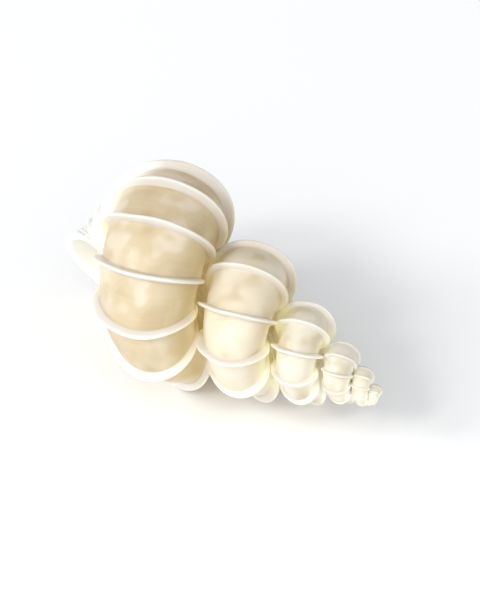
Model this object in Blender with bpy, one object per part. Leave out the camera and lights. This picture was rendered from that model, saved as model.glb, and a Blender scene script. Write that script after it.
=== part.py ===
"""A precious wentletrap shell, lying on its side as it rests on a table.

The shell is one tube that coils to the right round a straight axis and widens as it goes. Its whorls hardly
touch each other: thin blade-like ribs, the edges of its former mouths, stand up from the tube and bridge
them. Every shape here follows from the turn, a number that counts whorls along the coil. It is 0 in the
middle of the last whorl, negative towards the apex, and MOUTH_TURN at the lip. The coil is worked out with
its axis on Z and the apex up, then the finished shell is laid down on the three points that it rests on.
"""

import math

import bmesh
import bpy
import numpy as np
from mathutils import Matrix, Vector

# The coil. Lengths are in metres, and the other values are ratios or turns.
RIB_RADIUS = 0.0085  # from the middle of the tube to the edge of a rib, at turn 0
GROWTH = 0.332  # natural logarithm of the growth in one turn, at turn 0
GROWTH_SLOWING = 0.0268  # how that growth falls off towards the mouth
GROWTH_EASING = 0.00137
DESCENT = 2.062  # drop along the axis for each turn, in rib radii
AXIS_OFFSET = 0.963  # from the axis to the middle of the tube, in rib radii
AXIS_OFFSET_GAIN = 0.0092  # what each turn adds to it
APEX_TURN = -5.22
MOUTH_TURN = 0.57
SWELL_START = -3.2  # from here to the apex the first whorls are wider than this growth would make them
SWELL_END = -6.0
APEX_SWELL = 0.36  # by this share at that end
BOW = 0.00062  # the axis bows out by this much between these two turns
BOW_START = -1.5
BOW_END = -5.6
BOW_DIRECTION = (0.0, -1.0)
ADULT_TURN = 0.18  # from here on the tube of a grown shell sinks away from the spire
SINK_TURN = 0.36  # and by here it has sunk
ADULT_SINK = 0.1  # by this many rib radii
SHRINK_TURN = 0.34  # from here to the mouth it widens less
ADULT_SHRINK = 0.12  # by this share
FINE_STEP = 0.005  # step of the sum that gives the height along the axis

# The cross-section, seen along the tube. Its angle is 0 at the periphery and 90 degrees towards the apex.
SIDES = 16
RIB_LEAN = math.radians(13.65)  # the apical edge of a rib runs forward, towards the mouth
RIB_SWING = math.radians(-5.44)  # its outer edge lags behind
OVAL = -0.041
SHOULDER = 0.0766
TRIANGLE = -0.0195
BASE_CURL = 0.109  # how far the basal end of a rib bends forward
CREST_CURL = 0.124  # the same for its apical end
TUBE_SHARE = 0.86  # the tube's radius beside the rib's
PERIPHERY_FLATTENING = 0.045  # the tube is lower than this at the periphery, by up to this many rib radii
PINCH = 0.14  # the middle whorls' tube is narrower along the axis, by up to this many rib radii,
PINCH_START = -0.3  # between these two turns
PINCH_END = -3.3
UMBILICAL_HEIGHT = 0.3  # share of a rib's height that is left on the side of the axis
SINKING_START = 0.45  # a rib sinks to it between these shares of the way from the periphery to the axis
SINKING_END = 0.85
RIB_THICKNESS = 0.084  # in rib radii, at turn 0
RIB_EASING = 0.62  # a smaller whorl's ribs are thicker beside it: 0 keeps their share and 1 their thickness
RIB_FOOT = 1.5  # thickness at the foot of a rib, beside that at its edge
AXIS_THINNING = 0.6  # nearer the axis than this many rib radii, a rib thins
LIP_THICKNESS = 2.2  # beside that of a rib
LIP_FLARE = 1.1  # its height beside that of a rib
WALL = 0.085  # thickness of the tube's wall at the mouth, in rib radii
INNER_WALL = 0.25  # and at the inner end of the hollow

# Where the ribs stand.
ANCHOR_RIB_TURN = -0.008
RIB_STEP = 0.1123
CROWDING_START = -0.3
CROWDING = 0.68  # how fast the ribs close up from there to the mouth
LAST_RIB_GAP = 0.035  # the least distance from a rib to the lip
FIRST_RIB_TURN = -4.9
PLAIN_TURN = -2.4  # before it, the spire needs no section midway between its ribs

# The closed end of the tube at the apex.
TIP_LENGTH = 0.2  # turns
TIP_TURNS = (0.01, 0.055, 0.12)  # from the apex to each ring of the rounded end

# The hollow.
BORE_END_TURN = -3.0
BORE_STEP = 0.085
BORE_LEAD = 0.35  # how far the cutter stands out of the mouth, in rib radii

# The look.
SHELL_COLOUR = (0.86, 0.76, 0.58, 1.0)
SHELL_ROUGHNESS = 0.35

# How it lies.
REST_SIDE = (-0.71, 0.67, 0.19)  # roughly the side that it lies on, in the coil's own directions
APEX_HEADING = math.radians(-32.8)


def growth_exponent(turn):
    return GROWTH * turn - GROWTH_SLOWING * turn**2 + GROWTH_EASING * turn**3


def smooth_step(start, end, turn):
    """0 before the start and 1 after the end, with a smooth rise between them."""
    share = min(1.0, max(0.0, (turn - start) / (end - start)))
    return share * share * (3 - 2 * share)


def rib_radius(turn):
    full = RIB_RADIUS * math.exp(growth_exponent(turn))
    full *= 1 + APEX_SWELL * smooth_step(SWELL_START, SWELL_END, turn)
    return full * (1 - ADULT_SHRINK * smooth_step(SHRINK_TURN, MOUTH_TURN, turn))


def hump(start, end, turn):
    """0 outside these two turns, with a smooth rise to 1 midway."""
    share = min(1.0, max(0.0, (turn - start) / (end - start)))
    return math.sin(math.pi * share) ** 2


def bow(turn):
    """How far the axis stands aside at this turn."""
    return BOW * hump(BOW_START, BOW_END, turn) * np.array(BOW_DIRECTION + (0.0,))


def tip_share(turn):
    """1 along the tube, falling to 0 round its closed end at the apex."""
    left = max(0.0, 1 - (turn - APEX_TURN) / TIP_LENGTH)
    return math.sqrt(1 - left * left)


def rib_thickness(turn):
    """Thickness of a rib's edge, in rib radii."""
    return RIB_THICKNESS * (rib_radius(turn) / RIB_RADIUS) ** -RIB_EASING


def height_table():
    """Turns and the height along the axis at each, which is 0 at turn 0."""
    turns = np.arange(APEX_TURN - 0.2, MOUTH_TURN + 0.2, FINE_STEP)
    drops = np.array([DESCENT * rib_radius(turn) for turn in turns])
    fallen = np.concatenate([[0.0], np.cumsum((drops[1:] + drops[:-1]) / 2 * FINE_STEP)])
    return turns, np.interp(0.0, turns, fallen) - fallen


TURNS, HEIGHTS = height_table()


def section(turn):
    """The middle of the tube, then the directions outwards, towards the apex and along the tube there."""
    angle = math.tau * turn
    outwards = np.array([math.cos(angle), -math.sin(angle), 0.0])
    forwards = np.array([-math.sin(angle), -math.cos(angle), 0.0])
    up = np.array([0.0, 0.0, 1.0])
    radius = rib_radius(turn)
    sink = ADULT_SINK * smooth_step(ADULT_TURN, SINK_TURN, turn) * radius
    middle = (AXIS_OFFSET + AXIS_OFFSET_GAIN * turn) * radius * outwards + bow(turn)
    middle[2] = np.interp(turn, TURNS, HEIGHTS) - sink
    rise = math.cos(RIB_LEAN) * up + math.sin(RIB_LEAN) * forwards
    reach = math.cos(RIB_SWING) * outwards + math.sin(RIB_SWING) * forwards
    normal = np.cross(reach, rise)
    return middle, reach, rise, forwards, normal / np.linalg.norm(normal)


def outline(angle):
    """Radius of a rib's edge, in rib radii, at an angle of the cross-section."""
    return 1 + OVAL * math.cos(2 * angle) + SHOULDER * math.sin(2 * angle) + TRIANGLE * math.cos(3 * angle)


def curl(angle):
    """How far the two ends of a rib bend forward, in rib radii."""
    return BASE_CURL * max(0.0, -math.sin(angle)) ** 3 + CREST_CURL * max(0.0, math.sin(angle)) ** 3


def ring(turn, height, thickness, inset=0.0):
    """One ring of points round the tube. Height is 0 on the tube and 1 at a rib's edge. Thickness moves the
    ring along the tube and inset moves it inwards, both in rib radii."""
    middle, reach, rise, forwards, normal = section(turn)
    radius = rib_radius(turn)
    tip = tip_share(turn)
    pinch = PINCH * hump(PINCH_START, PINCH_END, turn)
    points = []
    for side in range(SIDES):
        angle = math.tau * side / SIDES
        sinking = smooth_step(SINKING_START, SINKING_END, (1 - math.cos(angle)) / 2)
        flattening = PERIPHERY_FLATTENING * max(0.0, math.cos(angle)) ** 2
        tube = TUBE_SHARE - pinch * math.sin(angle) ** 2 - flattening
        share = tube + height * (1 - tube) * (1 + (UMBILICAL_HEIGHT - 1) * sinking) - inset
        across = math.cos(angle) * reach + math.sin(angle) * rise
        point = middle + radius * tip * (share * outline(angle) * across + curl(angle) * forwards)
        from_axis = math.hypot(*(point - bow(turn))[:2]) / radius
        points.append(point + radius * thickness * min(1.0, from_axis / AXIS_THINNING) * normal)
    return points


def rib_step(turn):
    return RIB_STEP * (1 - CROWDING * max(0.0, turn - CROWDING_START))


def rib_turns():
    """The turn of each rib, from the apex to the last one before the lip."""
    turns = [ANCHOR_RIB_TURN]
    while turns[0] > FIRST_RIB_TURN:
        turns.insert(0, turns[0] - rib_step(turns[0] - RIB_STEP / 2))
    while turns[-1] + RIB_STEP / 2 < MOUTH_TURN:
        turns.append(turns[-1] + rib_step(turns[-1] + RIB_STEP / 2))
    return [turn for turn in turns if turn < MOUTH_TURN - LAST_RIB_GAP]


def rib_rings(turn, scale=1.0, flare=1.0):
    """The rings of one rib, from its foot over its edge and, unless it is the lip, down to its foot again."""
    edge = scale * rib_thickness(turn) / 2
    foot = edge + (RIB_FOOT - 1) * rib_thickness(turn) / 2
    return [ring(turn, 0.0, -foot), ring(turn, flare, -edge), ring(turn, flare, edge), ring(turn, 0.0, foot)]


def tube_rings():
    """The rings of the whole outside, from the apex to the front of the lip."""
    ribs = rib_turns()
    plain = [APEX_TURN + step for step in TIP_TURNS]
    plain += list(np.arange(APEX_TURN + TIP_LENGTH, ribs[0] - RIB_STEP / 2, RIB_STEP))
    rings = [ring(turn, 0.0, 0.0) for turn in plain]
    for turn, following in zip(ribs, ribs[1:] + [MOUTH_TURN]):
        rings += rib_rings(turn)
        if turn > PLAIN_TURN and following < MOUTH_TURN:
            rings.append(ring((turn + following) / 2, 0.0, 0.0))
    return rings + rib_rings(MOUTH_TURN, LIP_THICKNESS, LIP_FLARE)[:-1]


def bore_rings():
    """The rings of the hollow, from its inner end to a little way out of the mouth."""
    turns = np.linspace(BORE_END_TURN, MOUTH_TURN, round((MOUTH_TURN - BORE_END_TURN) / BORE_STEP) + 1)
    walls = np.linspace(INNER_WALL, WALL, len(turns))
    rings = [ring(turn, 0.0, 0.0, wall) for turn, wall in zip(turns, walls)]
    return rings + [ring(MOUTH_TURN, 0.0, BORE_LEAD, WALL)]


def loft(name, rings):
    """A closed object through these rings, with a fan of triangles over each end."""
    shape = bmesh.new()
    rows = [[shape.verts.new(point) for point in points] for points in rings]
    for behind, ahead in zip(rows, rows[1:]):
        for side in range(SIDES):
            beside = (side + 1) % SIDES
            shape.faces.new((behind[side], behind[beside], ahead[beside], ahead[side]))
    for row, turned in ((rows[0], True), (rows[-1], False)):
        middle = shape.verts.new(sum((vert.co for vert in row), Vector()) / SIDES)
        for side in range(SIDES):
            pair = (row[side], row[(side + 1) % SIDES])
            shape.faces.new((middle,) + (pair[::-1] if turned else pair))
    mesh = bpy.data.meshes.new(name)
    shape.to_mesh(mesh)
    shape.free()
    return bpy.data.objects.new(name, mesh)


def centre_of_mass(mesh):
    """The middle of the solid that a closed mesh bounds."""
    mesh.calc_loop_triangles()
    corners = np.array([[mesh.vertices[i].co for i in face.vertices] for face in mesh.loop_triangles])
    volumes = np.einsum("ij,ij->i", corners[:, 0], np.cross(corners[:, 1], corners[:, 2]))
    return (corners.sum(axis=1) / 4 * volumes[:, None]).sum(axis=0) / volumes.sum()


def stands_over(face, point):
    """Whether the point, dropped straight onto the plane of a convex face, falls inside the face."""
    corners = [vert.co for vert in face.verts]
    following = corners[1:] + corners[:1]
    return all((b - a).cross(point - a).dot(face.normal) >= 0 for a, b in zip(corners, following))


def resting_matrix(mesh):
    """The matrix that lays the coil down on the face of its convex hull that is nearest REST_SIDE and has
    the centre of mass over it, with the apex at its heading and the middle of the box over the origin."""
    centre = Vector(centre_of_mass(mesh))
    hull = bmesh.new()
    hull.from_mesh(mesh)
    bmesh.ops.convex_hull(hull, input=hull.verts)
    bmesh.ops.delete(hull, geom=[vert for vert in hull.verts if not vert.link_faces], context="VERTS")
    hull.normal_update()
    wanted = Vector(REST_SIDE).normalized()
    stable = [face for face in hull.faces if stands_over(face, centre)]
    under = max(stable, key=lambda face: face.normal.dot(wanted))
    lay = under.normal.rotation_difference(Vector((0, 0, -1))).to_matrix()
    apex = lay @ Vector((0, 0, 1))
    hull.free()
    lay = Matrix.Rotation(APEX_HEADING - math.atan2(apex.y, apex.x), 3, "Z") @ lay
    points = np.array([lay @ vert.co for vert in mesh.vertices])
    low, high = points.min(axis=0), points.max(axis=0)
    place = Matrix.Translation((-(low[0] + high[0]) / 2, -(low[1] + high[1]) / 2, -low[2]))
    return place @ lay.to_4x4()


def shell_material():
    """Glossy cream shell."""
    material = bpy.data.materials.new("shell")
    material.use_nodes = True
    surface = material.node_tree.nodes["Principled BSDF"]
    surface.inputs["Base Color"].default_value = SHELL_COLOUR
    surface.inputs["Roughness"].default_value = SHELL_ROUGHNESS
    surface.inputs["Metallic"].default_value = 0.0
    return material


def new_collection(name):
    collection = bpy.data.collections.new(name)
    bpy.context.scene.collection.children.link(collection)
    return collection


def main():
    for item in list(bpy.data.objects):
        bpy.data.objects.remove(item)
    parts = new_collection("wentletrap shell")
    cutters = new_collection("cutters")

    shell = loft("shell", tube_rings())
    shell.data.materials.append(shell_material())
    parts.objects.link(shell)
    bore = loft("bore", bore_rings())
    bore.hide_render = True
    bore.display_type = "WIRE"
    cutters.objects.link(bore)

    # The coil's edges run into each other where ribs bridge two whorls, so the cut also joins them.
    hollow = shell.modifiers.new("hollow", "BOOLEAN")
    hollow.operation = "DIFFERENCE"
    hollow.solver = "EXACT"
    hollow.use_self = True
    hollow.object = bore

    bpy.context.view_layer.update()
    evaluated = shell.evaluated_get(bpy.context.evaluated_depsgraph_get())
    lay = resting_matrix(evaluated.to_mesh())
    evaluated.to_mesh_clear()
    for item in (shell, bore):
        item.matrix_world = lay @ item.matrix_world
    shell.data.shade_smooth()
    shell.data.set_sharp_from_angle(angle=math.radians(40))


main()
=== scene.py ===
"""The finished look of the wentletrap shell, on a pale floor in soft light.

The shell is drawn again here as one fine mesh, by the growth rule of the CAD solid: a tube that coils round
an almost straight axis, with thin blade-like ribs. Lengths are in metres, and the turn counts whorls along
the coil: it is 0 in the middle of the last whorl, negative towards the apex, and MOUTH_TURN at the lip. The
coil is worked out with its axis on Z and the apex up, then the shell is laid down in the CAD solid's box.
"""

import math

import bpy
import numpy as np
from mathutils import Matrix, Vector


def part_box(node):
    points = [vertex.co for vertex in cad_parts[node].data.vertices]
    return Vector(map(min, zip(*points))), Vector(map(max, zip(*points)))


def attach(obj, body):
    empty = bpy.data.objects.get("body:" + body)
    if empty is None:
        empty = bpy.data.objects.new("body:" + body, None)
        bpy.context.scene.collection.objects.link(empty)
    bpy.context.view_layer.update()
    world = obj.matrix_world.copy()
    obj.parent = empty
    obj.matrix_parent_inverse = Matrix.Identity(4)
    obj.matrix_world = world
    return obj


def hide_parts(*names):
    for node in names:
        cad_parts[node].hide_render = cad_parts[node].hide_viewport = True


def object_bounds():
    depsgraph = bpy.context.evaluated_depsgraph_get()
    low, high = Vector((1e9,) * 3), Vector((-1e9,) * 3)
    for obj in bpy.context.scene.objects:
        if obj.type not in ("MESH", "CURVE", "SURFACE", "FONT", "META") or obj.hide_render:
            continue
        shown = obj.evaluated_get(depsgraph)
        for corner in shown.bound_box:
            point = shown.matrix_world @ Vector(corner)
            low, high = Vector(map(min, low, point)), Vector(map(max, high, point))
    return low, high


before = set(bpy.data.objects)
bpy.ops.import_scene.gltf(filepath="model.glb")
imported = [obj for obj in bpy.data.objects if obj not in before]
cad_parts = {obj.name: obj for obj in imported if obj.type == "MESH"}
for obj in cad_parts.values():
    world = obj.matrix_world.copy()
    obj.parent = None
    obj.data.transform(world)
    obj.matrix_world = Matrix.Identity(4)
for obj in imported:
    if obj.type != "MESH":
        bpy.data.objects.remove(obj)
cad_low, cad_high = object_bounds()
CENTRE = (Vector(cad_low) + Vector(cad_high)) / 2

# The coil, as in the CAD solid. Lengths are in metres, and the other values are ratios or turns.
RIB_RADIUS = 0.0085  # from the middle of the tube to the edge of a rib, at turn 0
GROWTH = 0.332  # natural logarithm of the growth in one turn, at turn 0
GROWTH_SLOWING = 0.0268  # how that growth falls off towards the mouth
GROWTH_EASING = 0.00137  # and how that slowing eases
DESCENT = 2.062  # drop along the axis for each turn, in rib radii
AXIS_OFFSET = 0.963  # from the axis to the middle of the tube, in rib radii
AXIS_OFFSET_GAIN = 0.0092  # what each turn adds to it
APEX_TURN = -5.22
MOUTH_TURN = 0.57
SWELL_START = -3.2  # from here to the apex the first whorls are wider than this growth would make them
SWELL_END = -6.0
APEX_SWELL = 0.36  # by this share at that end
BOW = 0.00062  # the axis bows out by this much between these two turns
BOW_START = -1.5
BOW_END = -5.6
BOW_DIRECTION = (0.0, -1.0, 0.0)
ADULT_TURN = 0.18  # from here on the tube of a grown shell sinks away from the spire
SINK_TURN = 0.36  # and by here it has sunk
ADULT_SINK = 0.1  # by this many rib radii
SHRINK_TURN = 0.34  # from here to the mouth it widens less
ADULT_SHRINK = 0.12  # by this share
FINE_STEP = 0.005  # step of the sum that gives the height along the axis
TABLE_MARGIN = 0.2  # turns by which that sum runs past both ends of the coil

# The cross-section, as in the CAD solid. Its angle is 0 at the periphery and 90 degrees towards the apex.
RIB_LEAN = math.radians(13.65)  # the apical edge of a rib runs forward, towards the mouth
RIB_SWING = math.radians(-5.44)  # its outer edge lags behind
OVAL = -0.041  # the section is longer towards the apex than outwards,
SHOULDER = 0.0766  # drawn out towards its shoulder
TRIANGLE = -0.0195  # and slightly three-cornered
BASE_CURL = 0.109  # how far the basal end of a rib bends forward
CREST_CURL = 0.124  # the same for its apical end
TUBE_SHARE = 0.86  # the tube's radius beside the rib's
PERIPHERY_FLATTENING = 0.045  # the tube is lower than this at the periphery, by up to this many rib radii
PINCH = 0.14  # the middle whorls' tube is narrower along the axis, by up to this many rib radii,
PINCH_START = -0.3  # between these two turns
PINCH_END = -3.3
UMBILICAL_HEIGHT = 0.3  # share of a rib's height that is left on the side of the axis
SINKING_START = 0.45  # a rib sinks to it between these shares of the way from the periphery to the axis
SINKING_END = 0.85
RIB_THICKNESS = 0.084  # in rib radii, at turn 0
RIB_EASING = 0.62  # a smaller whorl's ribs are thicker beside it: 0 keeps their share and 1 their thickness
AXIS_THINNING = 0.6  # nearer the axis than this many rib radii, a rib thins
LIP_THICKNESS = 2.2  # beside that of a rib
LIP_FLARE = 1.1  # its height beside that of a rib
WALL = 0.085  # thickness of the tube's wall at the mouth, in rib radii
INNER_WALL = 0.25  # and at the inner end of the hollow
BORE_END_TURN = -3.0  # where the hollow ends
TIP_LENGTH = 0.2  # turns over which the tube rounds off at the apex

# Where the ribs stand, as in the CAD solid.
ANCHOR_RIB_TURN = -0.008
RIB_STEP = 0.1123
CROWDING_START = -0.3
CROWDING = 0.68  # how fast the ribs close up from there to the mouth
LAST_RIB_GAP = 0.035  # the least distance from a rib to the lip
FIRST_RIB_TURN = -4.9

# How it lies, as the CAD solid does.
APEX_HEADING = math.radians(-32.8)
APEX_DIP = math.radians(9.976)
COIL_SPIN = math.radians(-133.958)  # the turn of the coil about its own axis

# What only the fine mesh has: unevenness, and a tube that is fuller on the side of the axis.
INNER_SWELL = 0.05  # fuller by this many rib radii, which narrows the gaps between the whorls,
INNER_SWELL_SPAN = (0.2, -0.4)  # as the cosine of the section's angle falls between these values
UNEVEN = 0.008  # height of each wave in the tube's radius, in rib radii
RAGGED = 0.05  # how much a rib's height varies, as a share of it
WAVER = 0.016  # how far a rib's edge wavers along the tube, in rib radii

# The waves that these vary by: crests round the tube, and how far the phase moves on in one turn of the coil.
UNEVEN_WAVES = ((2, 7.3), (3, -11.9), (1, 19.7))
RAGGED_WAVES = ((4, 23), (1, -31))
WAVER_WAVES = ((3, 41), (2, -17))

# The rings of the fine mesh.
SIDES = 96
ANGLES = np.arange(SIDES) * math.tau / SIDES
INTERSPACE_RINGS = 5  # between two ribs
SPIRE_TURN = -2.4  # before it, the small whorls have fewer rings
SPIRE_RINGS = 3
TIP_RINGS = 26
TIP_START = 0.002  # turns from the apex to the first ring
TIP_MARGIN = 0.4  # what the rings of the tip leave free before the first rib, as a share of RIB_STEP
INSIDE_RINGS = 76

# Half of a rib's section: distance along the tube in half thicknesses, and lift, from 0 on the tube to 1.
RIB_PROFILE = ((2.0, 0.0), (1.4, 0.04), (1.08, 0.16), (0.93, 0.42), (0.84, 0.75), (0.64, 0.93), (0.34, 1.0))
SPIRE_PROFILE = ((1.7, 0.0), (1.05, 0.15), (0.87, 0.65), (0.6, 0.95))
RIB_CREST = 1.015  # lift at the middle of a rib's edge
LIP_CREST = 1.03  # the same for the lip
LIP_FRONT_PROFILE = RIB_PROFILE[:1:-1]  # the front of the lip, from its edge inwards, without a foot
LIP_FRONT_BASE = 0.35  # that profile stands on this share of the lip's height

# From there into the mouth: depth as a share of the wall, and distance along the tube in half thicknesses.
LIP_INNER_EDGE = ((0.0, 1.0), (0.5, 0.9), (0.85, 0.6), (1.0, 0.0))


def smooth_step(start, end, values):
    """0 before the start and 1 after the end, with a smooth rise between them."""
    share = np.clip((values - start) / (end - start), 0.0, 1.0)
    return share * share * (3 - 2 * share)


def hump(start, end, values):
    """0 outside these two values, with a smooth rise to 1 midway."""
    share = np.clip((values - start) / (end - start), 0.0, 1.0)
    return np.sin(math.pi * share) ** 2


def waves(kinds, turns, angle):
    """One wave over the tube for each pair of crests and phase."""
    return [np.sin(crests * angle + phase * turns) for crests, phase in kinds]


def rib_radius(turns):
    full = RIB_RADIUS * np.exp(GROWTH * turns - GROWTH_SLOWING * turns**2 + GROWTH_EASING * turns**3)
    full = full * (1 + APEX_SWELL * smooth_step(SWELL_START, SWELL_END, turns))
    return full * (1 - ADULT_SHRINK * smooth_step(SHRINK_TURN, MOUTH_TURN, turns))


def rib_half(turn):
    """Half the thickness of a rib's edge, in rib radii."""
    return RIB_THICKNESS / 2 * (rib_radius(turn) / RIB_RADIUS) ** -RIB_EASING


def in_turns(along):
    """A distance along the tube in turns, from rib radii: the coil is about one rib radius from its axis."""
    return along / math.tau


def height_table():
    """Turns and the height along the axis at each, which is 0 at turn 0."""
    turns = np.arange(APEX_TURN - TABLE_MARGIN, MOUTH_TURN + TABLE_MARGIN, FINE_STEP)
    drops = DESCENT * rib_radius(turns)
    fallen = np.concatenate([[0.0], np.cumsum((drops[1:] + drops[:-1]) / 2 * FINE_STEP)])
    return turns, np.interp(0.0, turns, fallen) - fallen


TURNS, HEIGHTS = height_table()


def bow(turns):
    """How far the axis stands aside."""
    return BOW * hump(BOW_START, BOW_END, turns) * np.array(BOW_DIRECTION)


def section(turns):
    """The middle of the tube, then the directions outwards, towards the apex and along the tube there, and
    the direction square to a rib."""
    angle = math.tau * turns
    zero = np.zeros_like(angle)
    outwards = np.concatenate([np.cos(angle), -np.sin(angle), zero], axis=2)
    forwards = np.concatenate([-np.sin(angle), -np.cos(angle), zero], axis=2)
    up = np.array([0.0, 0.0, 1.0])
    radius = rib_radius(turns)
    sink = ADULT_SINK * smooth_step(ADULT_TURN, SINK_TURN, turns) * radius
    middle = (AXIS_OFFSET + AXIS_OFFSET_GAIN * turns) * radius * outwards + bow(turns)
    middle = middle + (np.interp(turns, TURNS, HEIGHTS) - sink) * up
    rise = math.cos(RIB_LEAN) * up + math.sin(RIB_LEAN) * forwards
    reach = math.cos(RIB_SWING) * outwards + math.sin(RIB_SWING) * forwards
    square = np.cross(reach, rise)
    return middle, reach, rise, forwards, square / np.linalg.norm(square, axis=2, keepdims=True)


def outline(angle):
    """Radius of a rib's edge, in rib radii, at an angle of the cross-section."""
    return 1 + OVAL * np.cos(2 * angle) + SHOULDER * np.sin(2 * angle) + TRIANGLE * np.cos(3 * angle)


def curl(angle):
    """How far the two ends of a rib bend forward, in rib radii."""
    return BASE_CURL * np.maximum(0, -np.sin(angle)) ** 3 + CREST_CURL * np.maximum(0, np.sin(angle)) ** 3


def tube_share(turns, angle):
    """The tube's radius beside that of a rib's edge."""
    share = TUBE_SHARE - PINCH * hump(PINCH_START, PINCH_END, turns) * np.sin(angle) ** 2
    share = share - PERIPHERY_FLATTENING * np.maximum(0, np.cos(angle)) ** 2
    share = share + INNER_SWELL * smooth_step(*INNER_SWELL_SPAN, np.cos(angle))
    return share + UNEVEN * sum(waves(UNEVEN_WAVES, turns, angle))


def tip_share(turns):
    """1 along the tube, falling to 0 round its closed end at the apex."""
    left = np.maximum(0.0, 1 - (turns - APEX_TURN) / TIP_LENGTH)
    return np.sqrt(1 - left * left)


def rings_of(turns, lifts, alongs):
    """Rings of points round the tube, one for each turn, as an array of shape (rings, SIDES, 3).

    A lift is 0 on the tube and 1 at a rib's edge, and below 0 it is a depth in rib radii. Along moves a ring
    along the tube, in rib radii.
    """
    turns, lifts, alongs = (values[:, None, None] for values in (turns, lifts, alongs))
    angle = ANGLES[None, :, None]
    middle, reach, rise, forwards, square = section(turns)
    radius = rib_radius(turns)
    tube = tube_share(turns, angle)
    sinking = smooth_step(SINKING_START, SINKING_END, (1 - np.cos(angle)) / 2)
    first, second = waves(RAGGED_WAVES, turns, angle)
    ragged = 1 + RAGGED * first * second
    standing = np.maximum(lifts, 0) * (1 - tube) * (1 + (UMBILICAL_HEIGHT - 1) * sinking) * ragged
    share = tube + standing + np.minimum(lifts, 0)
    across = np.cos(angle) * reach + np.sin(angle) * rise
    points = middle + radius * tip_share(turns) * (share * outline(angle) * across + curl(angle) * forwards)

    aside = points - bow(turns)
    from_axis = np.hypot(aside[..., :1], aside[..., 1:2]) / radius
    first, second = waves(WAVER_WAVES, turns, angle)
    waver = WAVER * np.clip(lifts, 0, 1) * first * second
    alongs = (alongs + waver) * np.minimum(1.0, from_axis / AXIS_THINNING)
    return points + radius * alongs * square


def rib_step(turn):
    return RIB_STEP * (1 - CROWDING * max(0.0, turn - CROWDING_START))


def rib_turns():
    """The turn of each rib, from the apex to the last one before the lip."""
    turns = [ANCHOR_RIB_TURN]
    while turns[0] > FIRST_RIB_TURN:
        turns.insert(0, turns[0] - rib_step(turns[0] - RIB_STEP / 2))
    while turns[-1] + RIB_STEP / 2 < MOUTH_TURN:
        turns.append(turns[-1] + rib_step(turns[-1] + RIB_STEP / 2))
    return [turn for turn in turns if turn < MOUTH_TURN - LAST_RIB_GAP]


def plain_rows(start, end, count):
    """Evenly spread rings of the bare tube. A row is the (turn, lift, along) of one ring."""
    return [(turn, 0.0, 0.0) for turn in np.linspace(start, end, count)]


def outside_rows():
    """The rings of the outside, from the apex to the last rib before the lip."""
    ribs = rib_turns()
    rows = plain_rows(APEX_TURN + TIP_START, ribs[0] - RIB_STEP * TIP_MARGIN, TIP_RINGS)
    for turn, following in zip(ribs, ribs[1:] + [MOUTH_TURN]):
        fine = turn > SPIRE_TURN
        profile = RIB_PROFILE if fine else SPIRE_PROFILE
        half = rib_half(turn)
        rows += [(turn, lift, -half * along) for along, lift in profile]
        rows.append((turn, RIB_CREST, 0.0))
        rows += [(turn, lift, half * along) for along, lift in profile[::-1]]
        if following < MOUTH_TURN:
            foot = in_turns(half * profile[0][0])
            count = INTERSPACE_RINGS if fine else SPIRE_RINGS
            rows += plain_rows(turn + foot, following - foot, count + 2)[1:-1]
    return rows


def lip_rows():
    """The rings of the lip, from its foot over its edge and into the mouth."""
    half = LIP_THICKNESS * rib_half(MOUTH_TURN)
    rows = [(MOUTH_TURN, lift * LIP_FLARE, -half * along) for along, lift in RIB_PROFILE]
    rows.append((MOUTH_TURN, LIP_CREST * LIP_FLARE, 0.0))
    for along, lift in LIP_FRONT_PROFILE:
        rows.append((MOUTH_TURN, LIP_FLARE * (LIP_FRONT_BASE + (1 - LIP_FRONT_BASE) * lift), half * along))
    for depth, along in LIP_INNER_EDGE:
        rows.append((MOUTH_TURN, -WALL * depth, half * along))
    return rows


def inside_rows():
    """The rings of the hollow, from just inside the mouth to its inner end."""
    turns = np.linspace(MOUTH_TURN, BORE_END_TURN, INSIDE_RINGS + 1)[1:]
    walls = np.linspace(WALL, INNER_WALL, len(turns))
    return [(turn, -wall, 0.0) for turn, wall in zip(turns, walls)]


def laid_down(rings, outside_count):
    """The rings turned to lie as the CAD solid does. The outside of the shell, which is the first so many of
    them, is centred on the CAD solid's box and stands on the bottom of it."""
    turned = (
        Matrix.Rotation(APEX_HEADING, 3, "Z")
        @ Matrix.Rotation(math.pi / 2 + APEX_DIP, 3, "Y")
        @ Matrix.Rotation(COIL_SPIN, 3, "Z")
    )
    points = rings.reshape(-1, 3) @ np.array(turned).T
    outside = points[: outside_count * SIDES]
    low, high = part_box("shell")
    shift = (np.array(low) + np.array(high)) / 2 - (outside.min(axis=0) + outside.max(axis=0)) / 2
    shift[2] = low[2] - outside[:, 2].min()
    return points.reshape(rings.shape) + shift


def grid_object(name, rings, values):
    """A closed object through these rings, with a fan of triangles over each end. The values are arrays of
    shape (rings, SIDES), and each is kept at the points under its name."""
    count = len(rings)
    numbers = np.arange(count * SIDES).reshape(count, SIDES)
    beside = np.roll(numbers, -1, axis=1)
    faces = np.stack([numbers[:-1], beside[:-1], beside[1:], numbers[1:]], axis=-1).reshape(-1, 4).tolist()
    first_end, last_end = (np.full(SIDES, count * SIDES + end) for end in (0, 1))
    faces += np.stack([first_end, beside[0], numbers[0]], axis=1).tolist()
    faces += np.stack([last_end, numbers[-1], beside[-1]], axis=1).tolist()
    ends = np.stack([rings[0].mean(axis=0), rings[-1].mean(axis=0)])
    mesh = bpy.data.meshes.new(name)
    mesh.from_pydata(np.concatenate([rings.reshape(-1, 3), ends]).tolist(), [], faces)
    for label, data in values.items():
        flat = np.concatenate([data.reshape(-1), [data[0].mean(), data[-1].mean()]])
        attribute = mesh.attributes.new(label, "FLOAT", "POINT")
        attribute.data.foreach_set("value", flat.astype(np.float32))
    mesh.shade_smooth()
    return bpy.data.objects.new(name, mesh)


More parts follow.
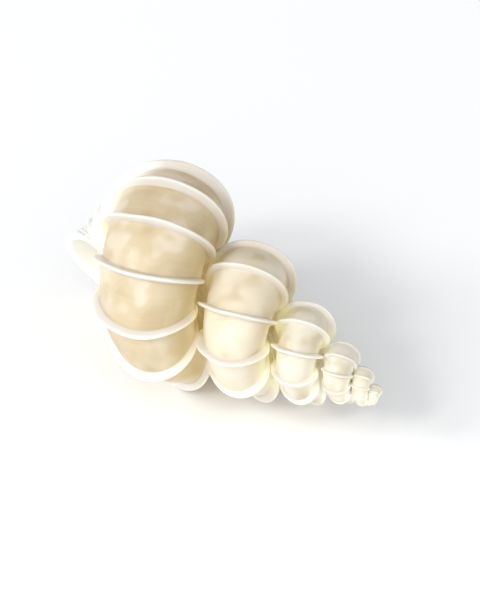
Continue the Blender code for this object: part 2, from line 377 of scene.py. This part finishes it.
def build_shell():
    """The shell, with the values that its material reads at each point: the turn, the lift, whether it is in
    the hollow, and how far it is to the outer side and to the apical side, each from -1 to 1."""
    outside = outside_rows() + lip_rows()
    rows = outside + inside_rows()
    turns, lifts, alongs = (np.array(column) for column in zip(*rows))
    rings = laid_down(rings_of(turns, lifts, alongs), len(outside))
    inside = np.arange(len(rows)) >= len(outside)
    whole = np.ones((len(rows), SIDES))
    values = {
        "turn": (turns + in_turns(alongs))[:, None] * whole,
        "lift": np.clip(lifts, 0, 1)[:, None] * whole,
        "inside": inside[:, None] * whole,
        "outer": np.cos(ANGLES) * whole,
        "apical": np.sin(ANGLES) * whole,
    }
    shell = grid_object("shell_surface", rings, values)
    bpy.context.scene.collection.objects.link(shell)
    return shell


class Nodes:
    """Short ways to add the nodes of one material or world."""

    def __init__(self, owner, shader):
        owner.use_nodes = True
        self.tree = owner.node_tree
        self.shader = self.tree.nodes[shader]

    def put(self, socket, value):
        """Links the value to the socket if it comes from another node, or else sets the socket to it."""
        if isinstance(value, bpy.types.NodeSocket):
            self.tree.links.new(value, socket)
        else:
            socket.default_value = value

    def shade(self, inputs):
        """Puts these values into the shader."""
        for name, value in inputs.items():
            self.put(self.shader.inputs[name], value)

    def add(self, kind, inputs=(), **settings):
        """A new node of this kind, with these inputs and settings."""
        made = self.tree.nodes.new(kind)
        for name, value in settings.items():
            setattr(made, name, value)
        for name, value in dict(inputs).items():
            self.put(made.inputs[name], value)
        return made

    def value(self, name):
        """A value that the mesh keeps at its points."""
        return self.add("ShaderNodeAttribute", attribute_name=name).outputs["Fac"]

    def span(self, value, start, end, low=0.0, high=1.0):
        """The value brought smoothly from between start and end to between low and high."""
        made = self.add(
            "ShaderNodeMapRange",
            {"Value": value, "From Min": start, "From Max": end, "To Min": low, "To Max": high},
            interpolation_type="SMOOTHSTEP",
        )
        return made.outputs["Result"]

    def calculate(self, operation, *values):
        """The result of a Math node with this operation."""
        made = self.add("ShaderNodeMath", operation=operation)
        for socket, value in zip(made.inputs, values):
            self.put(socket, value)
        return made.outputs["Value"]

    def mix(self, share, first, second):
        """The first colour, with this share of the second."""
        made = self.add("ShaderNodeMix", {"Factor": share, "A": first, "B": second}, data_type="RGBA")
        return made.outputs["Result"]

    def ramp(self, value, stops):
        """The colour at this value, between stops of a value and a colour."""
        made = self.add("ShaderNodeValToRGB", {"Fac": value})
        elements = made.color_ramp.elements
        for place, colour in stops[1:-1]:
            elements.new(place).color = colour
        for index, (place, colour) in ((0, stops[0]), (-1, stops[-1])):
            elements[index].position = place
            elements[index].color = colour
        return made.outputs["Color"]

    def noise(self, source, scale, detail, roughness, dimensions="3D"):
        """A noise over a place or, in one dimension, along a value."""
        socket = "W" if dimensions == "1D" else "Vector"
        inputs = {socket: source, "Scale": scale, "Detail": detail, "Roughness": roughness}
        return self.add("ShaderNodeTexNoise", inputs, noise_dimensions=dimensions).outputs["Fac"]


# The shell's colours.
PALE = (0.80, 0.73, 0.62, 1)
TAN = (0.46, 0.33, 0.15, 1)
# Painted shade: the golden brown of the tube's apical side, beside the gap to the older whorl.
PAINTED_SHADE = (0.55, 0.42, 0.17, 1)
LIP_WHITE = (0.96, 0.945, 0.88, 1)

# The tube's colour at each of these turns.
TUBE_COLOURS = (
    (APEX_TURN, (0.67, 0.635, 0.51, 1)),
    (-4.4, (0.72, 0.68, 0.55, 1)),
    (-3.2, (0.74, 0.70, 0.59, 1)),
    (-2.2, (0.73, 0.675, 0.57, 1)),
    (-1.2, (0.74, 0.68, 0.54, 1)),
    (-0.7, (0.71, 0.61, 0.45, 1)),
    (-0.2, (0.625, 0.52, 0.34, 1)),
    (MOUTH_TURN, (0.57, 0.46, 0.30, 1)),
)

# The ribs' colour, with painted light and shade: on each whorl the ribs on the side that faces the lamps are
# whiter, and those turned away from them darker.
RIB_LIT_AND_SHADED_COLOURS = (
    (-4.2, (0.70, 0.65, 0.53, 1)),
    (-2.8, (0.63, 0.59, 0.53, 1)),
    (-2.1, (0.70, 0.67, 0.62, 1)),
    (-1.7, (0.67, 0.63, 0.57, 1)),
    (-1.3, (0.72, 0.69, 0.64, 1)),
    (-0.8, (0.64, 0.59, 0.52, 1)),
    (-0.3, (0.82, 0.81, 0.78, 1)),
    (-0.1, (0.72, 0.69, 0.655, 1)),
    (0.25, (0.61, 0.575, 0.52, 1)),
)

# Painted light down in the gap between two whorls: a near-white golden colour that brightens the deep gap as
# light shining through the thin walls would.
SEAM_PAINTED_LIGHT = (
    (-2.8, (0.99, 0.96, 0.86, 1)),
    (-1.8, (0.99, 0.92, 0.68, 1)),
    (-0.7, (0.99, 0.94, 0.70, 1)),
    (-0.2, (0.99, 0.88, 0.60, 1)),
)

# And the colour in the hollow.
INSIDE_COLOURS = (
    (-0.8775, (0.80, 0.62, 0.38, 1)),
    (0.3963, (0.95, 0.93, 0.87, 1)),
)

# The noises: scale, detail and roughness. The scale is by the turn for growth lines, and else by the metre.
CLOUD_NOISE = (230, 1.5, 0.45)
CLOUD_SHIFT = (11.9, 0, 0)  # which part of the endless pattern of clouds the shell shows
GROWTH_NOISE = (95, 2.0, 0.5)
GLOSS_NOISE = (420, 3.0, 0.5)

# Where each colour shows: a value's start and end, and the shares that go with them if not 0 and 1.
PALE_CLOUDS = (0.5, 0.66, 0.0, 0.5)
TAN_CLOUDS = (0.48, 0.32, 0.0, 0.4)
PALE_GROWTH = (0.35, 0.7, 0.0, 0.08)
# Where the painted shade falls beside the seams:
SHADE_BY_SIDE = (0.65, 1.0, 0.0, 0.65)  # the tube is browner on its apical side,
SHADE_BY_TURN = (-1.3, -0.5, 0.3, 1.0)  # and the more so on the later whorls
RIB_SHADE = 0.5  # the ribs take this share of it
RIB_FOOT = (0.02, 0.22)  # lifts between which the tube's colour gives way to the rib's
# Where the painted light of the seam shows:
SEAM_DEPTH = (0.6, -0.1)  # the seam's colour comes in away from the outer side,
SEAM_BY_TURN = (-1.9, -0.35, -0.25, 0.14)  # deeper down on the later whorls
SEAM_BY_SIDE = (0.3, 0.9, 0.0, 0.18)  # and on the apical side
LIP_SPAN = (0.34, 0.44)  # turns between which the white of the lip comes in,
LIP_BASE_SPAN = (0.08, 0.28)  # and between which it does on the basal side
LIP_BASE_SIDE = (-0.4, -0.95)

# The finish. The ribs are less glossy than the tube.
GLOSS = (0.3, 0.7, 0.29, 0.38)  # a span of the noise, and the roughness that goes with it
RIB_ROUGHNESS = (0.05, 0.4, 0.0, 0.12)  # a span of the lift, and what it adds to the roughness
GROWTH_RELIEF = {"Strength": 0.2, "Distance": 0.00005}
PORCELAIN = {
    "Subsurface Weight": 1.0,
    "Subsurface Radius": (1.0, 0.9, 0.75),
    "Subsurface Scale": 0.0012,
    "Specular IOR Level": 0.75,
}


def colour_along(nodes, turn, colours):
    """The colour at this turn, between colours that are given at some turns."""
    length = MOUTH_TURN - APEX_TURN
    share = nodes.calculate("DIVIDE", nodes.calculate("SUBTRACT", turn, APEX_TURN), length)
    return nodes.ramp(share, [((stop - APEX_TURN) / length, colour) for stop, colour in colours])


def clouded(nodes, colour, place):
    """The colour with paler and browner clouds over it."""
    shifted = nodes.add("ShaderNodeMapping", {"Vector": place, "Location": CLOUD_SHIFT}).outputs["Vector"]
    clouds = nodes.noise(shifted, *CLOUD_NOISE)
    colour = nodes.mix(nodes.span(clouds, *PALE_CLOUDS), colour, PALE)
    return nodes.mix(nodes.span(clouds, *TAN_CLOUDS), colour, TAN)


def seam_share(nodes, turn, outer, apical):
    """How much of the seam's painted light a point has, by how far down it is in the gap between two whorls.
    """
    later = nodes.calculate("ADD", nodes.span(turn, *SEAM_BY_TURN), nodes.span(apical, *SEAM_BY_SIDE))
    return nodes.span(nodes.calculate("ADD", outer, later), *SEAM_DEPTH)


def lip_share(nodes, turn, apical):
    """How much of the lip's white a point has. The white reaches farther back on the basal side."""
    basal = nodes.calculate("MULTIPLY", nodes.span(apical, *LIP_BASE_SIDE), nodes.span(turn, *LIP_BASE_SPAN))
    return nodes.calculate("MAXIMUM", basal, nodes.span(turn, *LIP_SPAN))


def shell_material():
    """Porcelain-like shell: cream between paler ribs and white at the lip, with painted light and shade: ribs
    whiter where they face the lamps and darker where they turn away, painted shade beside the seams and
    golden painted light down in them.
    """
    material = bpy.data.materials.new("shell_porcelain")
    nodes = Nodes(material, "Principled BSDF")
    turn, lift, outer, apical = (nodes.value(name) for name in ("turn", "lift", "outer", "apical"))
    place = nodes.add("ShaderNodeTexCoord").outputs["Object"]
    growth = nodes.noise(turn, *GROWTH_NOISE, dimensions="1D")
    # Painted shade on the apical side, beside the gap to the older whorl.
    shade = nodes.calculate("MULTIPLY", nodes.span(apical, *SHADE_BY_SIDE), nodes.span(turn, *SHADE_BY_TURN))

    tube = clouded(nodes, colour_along(nodes, turn, TUBE_COLOURS), place)
    tube = nodes.mix(shade, tube, PAINTED_SHADE)
    tube = nodes.mix(nodes.span(growth, *PALE_GROWTH), tube, PALE)
    # The ribs, with painted light and shade by the side of the whorl that they stand on, and part of the
    # painted shade beside the seams.
    rib = colour_along(nodes, turn, RIB_LIT_AND_SHADED_COLOURS)
    rib = nodes.mix(nodes.calculate("MULTIPLY", shade, RIB_SHADE), rib, PAINTED_SHADE)
    colour = nodes.mix(nodes.span(lift, *RIB_FOOT), tube, rib)
    # Painted light down in the gaps between the whorls.
    seam = colour_along(nodes, turn, SEAM_PAINTED_LIGHT)
    colour = nodes.mix(seam_share(nodes, turn, outer, apical), colour, seam)
    colour = nodes.mix(lip_share(nodes, turn, apical), colour, LIP_WHITE)
    colour = nodes.mix(nodes.value("inside"), colour, colour_along(nodes, turn, INSIDE_COLOURS))

    gloss = nodes.span(nodes.noise(place, *GLOSS_NOISE), *GLOSS)
    rough = nodes.calculate("ADD", gloss, nodes.span(lift, *RIB_ROUGHNESS))
    relief = nodes.add("ShaderNodeBump", {"Height": growth, **GROWTH_RELIEF}).outputs["Normal"]
    nodes.shade({"Base Color": colour, "Roughness": rough, "Normal": relief, **PORCELAIN})
    return material


shell = build_shell()
shell.data.materials.append(shell_material())
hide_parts("shell")
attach(shell, "root")

# The floor.
FLOOR_SIZE = 6
FLOOR_FINISH = {"Base Color": (0.945, 0.945, 0.95, 1), "Roughness": 0.9, "Specular IOR Level": 0.0}

# The light from all round, and what is added to it straight in front.
WORLD_COLOUR = (0.96, 0.98, 1.0, 1)
WORLD_STRENGTH = 0.35
FRONT_STRENGTH = 1.5

# The two lamps. Directions are a bearing from +X and a height above the floor, both in degrees.
LAMP_DISTANCE = 1.4
LAMP_POWER = 4.9
KEY_DIRECTION = (222, 38)
KEY_SIZE = 0.32
KEY_COLOUR = (1.0, 0.965, 0.9)
SIDE_DIRECTION = (192, 31)
SIDE_SIZE = 0.4
SIDE_COLOUR = (0.98, 0.985, 1.0)

# The camera, which looks down from the front at a point a little aside from the middle of the shell.
CAMERA_DIRECTION = (-89.73, 36.71)
CAMERA_DISTANCE = 0.32598
ROLL = math.radians(0.21)
AIM_RIGHT = 0.00338
AIM_UP = -0.00413
LENS = 128.763
CLIP_START = 0.01

# Light bounces many times, because it gathers in the deep gaps between the whorls.
ALL_BOUNCES = 24
DIFFUSE_BOUNCES = 16


def add_floor():
    """A plain matt white floor under the shell."""
    bpy.ops.mesh.primitive_plane_add(size=FLOOR_SIZE, location=(0, 0, 0))
    made = bpy.context.object
    made.name = "floor"
    material = bpy.data.materials.new("floor")
    Nodes(material, "Principled BSDF").shade(FLOOR_FINISH)
    made.data.materials.append(material)
    return made


def direction_of(bearing, height):
    """The direction at this bearing from +X and this height above the floor, both in degrees."""
    bearing, height = math.radians(bearing), math.radians(height)
    level = math.cos(height)
    return Vector((math.cos(bearing) * level, math.sin(bearing) * level, math.sin(height)))


def add_lamp(name, direction, size, colour):
    """A round lamp that shines on the middle of the shell."""
    data = bpy.data.lights.new(name, "AREA")
    data.shape = "DISK"
    data.size = size
    data.energy = LAMP_POWER
    data.color = colour
    lamp = bpy.data.objects.new(name, data)
    bpy.context.scene.collection.objects.link(lamp)
    lamp.location = CENTRE + direction * LAMP_DISTANCE
    lamp.rotation_euler = direction.to_track_quat("Z", "Y").to_euler()


def add_world():
    """Light from all round, which is stronger the more it comes from the front."""
    world = bpy.data.worlds.new("world")
    bpy.context.scene.world = world
    nodes = Nodes(world, "Background")
    # The gradient runs from 0 to 1 along +X. So -Y is turned to +X, and its -1 to 1 is brought to 0 to 1.
    towards_front = {"Rotation": (0, 0, math.radians(90)), "Scale": (0.5, 0.5, 0.5), "Location": (0.5, 0, 0)}
    direction = nodes.add("ShaderNodeTexCoord").outputs["Generated"]
    frontness = nodes.add("ShaderNodeMapping", {"Vector": direction, **towards_front}).outputs["Vector"]
    gradient = nodes.add("ShaderNodeTexGradient", {"Vector": frontness}, gradient_type="QUADRATIC")
    strength = nodes.calculate("MULTIPLY_ADD", gradient.outputs["Fac"], FRONT_STRENGTH, WORLD_STRENGTH)
    nodes.shade({"Color": WORLD_COLOUR, "Strength": strength})


def add_camera():
    data = bpy.data.cameras.new("camera")
    data.lens = LENS
    data.clip_start = CLIP_START
    camera = bpy.data.objects.new("camera", data)
    bpy.context.scene.collection.objects.link(camera)
    backwards = direction_of(*CAMERA_DIRECTION)
    level = Vector((0, 0, 1)).cross(backwards).normalized()
    right = math.cos(ROLL) * level + math.sin(ROLL) * backwards.cross(level)
    up = backwards.cross(right)
    pose = Matrix((right, up, backwards)).transposed().to_4x4()
    pose.translation = CENTRE + AIM_RIGHT * right + AIM_UP * up + CAMERA_DISTANCE * backwards
    camera.matrix_world = pose
    bpy.context.scene.camera = camera


floor = add_floor()
add_lamp("key", direction_of(*KEY_DIRECTION), KEY_SIZE, KEY_COLOUR)
add_lamp("side", direction_of(*SIDE_DIRECTION), SIDE_SIZE, SIDE_COLOUR)
add_world()
add_camera()
bpy.context.scene.view_settings.view_transform = "Standard"
bpy.context.scene.cycles.max_bounces = ALL_BOUNCES
bpy.context.scene.cycles.diffuse_bounces = DIFFUSE_BOUNCES
